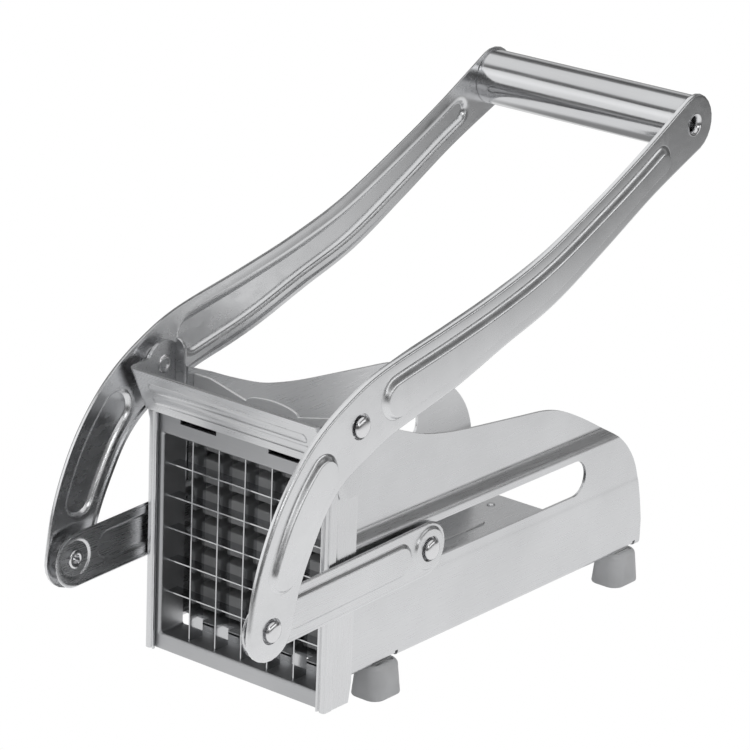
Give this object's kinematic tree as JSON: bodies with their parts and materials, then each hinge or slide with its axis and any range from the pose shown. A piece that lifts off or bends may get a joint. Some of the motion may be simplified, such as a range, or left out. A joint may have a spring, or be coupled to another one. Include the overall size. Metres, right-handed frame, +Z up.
{
  "type": "french fry cutter",
  "caption": "Lever-operated french fry cutter with a steel body, drop-in blade grid, sliding peg pusher and a long folding lever.",
  "frame": {"origin": "centre of the bounding box in plan, on the plane the feet stand on", "axes": "+Z up, +Y from the blade grid towards the handle, +X across the width, to the right seen from the front"},
  "size_m": [0.088, 0.226, 0.1685],
  "materials": {
    "body_steel": "fine brushed sheet",
    "arm_steel": "brushed along the arm",
    "cassette_steel": "matt sheet",
    "blade_steel": "bright ground strip",
    "tube_steel": "polished round the tube",
    "rivet_steel": "bright",
    "peg_plastic": "moulded, slightly satin",
    "bush_plastic": "moulded",
    "foot_rubber": "matt"
  },
  "bodies": {
    "base": {"body_shell": "body_steel", "cross_plate": "body_steel", "front_frame": "body_steel", "top_bracket": "body_steel", "pivot_rivet_right": "rivet_steel", "pivot_rivet_left": "rivet_steel", "pivot_spacer_right": "cassette_steel", "pivot_spacer_left": "cassette_steel", "front_foot_right": "foot_rubber", "front_foot_left": "foot_rubber", "rear_foot_right": "foot_rubber", "rear_foot_left": "foot_rubber"},
    "cassette": {"blade_cassette": "cassette_steel", "horizontal_blades": "blade_steel", "vertical_blades": "blade_steel"},
    "lever": {"arm_right": "arm_steel", "arm_left": "arm_steel", "lower_rivet_right": "rivet_steel", "lower_rivet_left": "rivet_steel", "handle_tube": "tube_steel", "handle_tie_rod": "rivet_steel", "tube_plugs": "bush_plastic"},
    "pusher": {"peg_block": "peg_plastic", "pusher_carrier": "cassette_steel", "carrier_rivets": "rivet_steel", "slider_bush_right": "bush_plastic", "slider_bush_left": "bush_plastic", "slider_rivet_right": "rivet_steel", "slider_rivet_left": "rivet_steel"},
    "links": {"link_right": "arm_steel", "link_left": "arm_steel", "link_eyelet_right": "rivet_steel", "link_eyelet_left": "rivet_steel"}
  },
  "joints": [
    {"name": "lever_pivot", "type": "hinge", "parent": "base", "child": "lever", "pos_m": [0, -0.0645, 0.0974], "axis": [1, 0, 0], "range_deg": [-20, 70]},
    {"name": "pusher_slide", "type": "slide", "parent": "base", "child": "pusher", "axis": [0, 1, 0], "range_m": [-0.021, 0.0734]},
    {"name": "link_swing", "type": "hinge", "parent": "pusher", "child": "links", "pos_m": [0, -0.0246, 0.0456], "axis": [1, 0, 0], "range_deg": [-3, 10]},
    {"name": "cassette_lift", "type": "slide", "parent": "base", "child": "cassette", "axis": [0, 0, 1], "range_m": [0, 0.08]}
  ],
  "couplings": [
    {"joint": "pusher_slide", "follows": "lever_pivot", "m_per_rad": 0.06},
    {"joint": "link_swing", "follows": "lever_pivot", "ratio": 0.14}
  ]
}
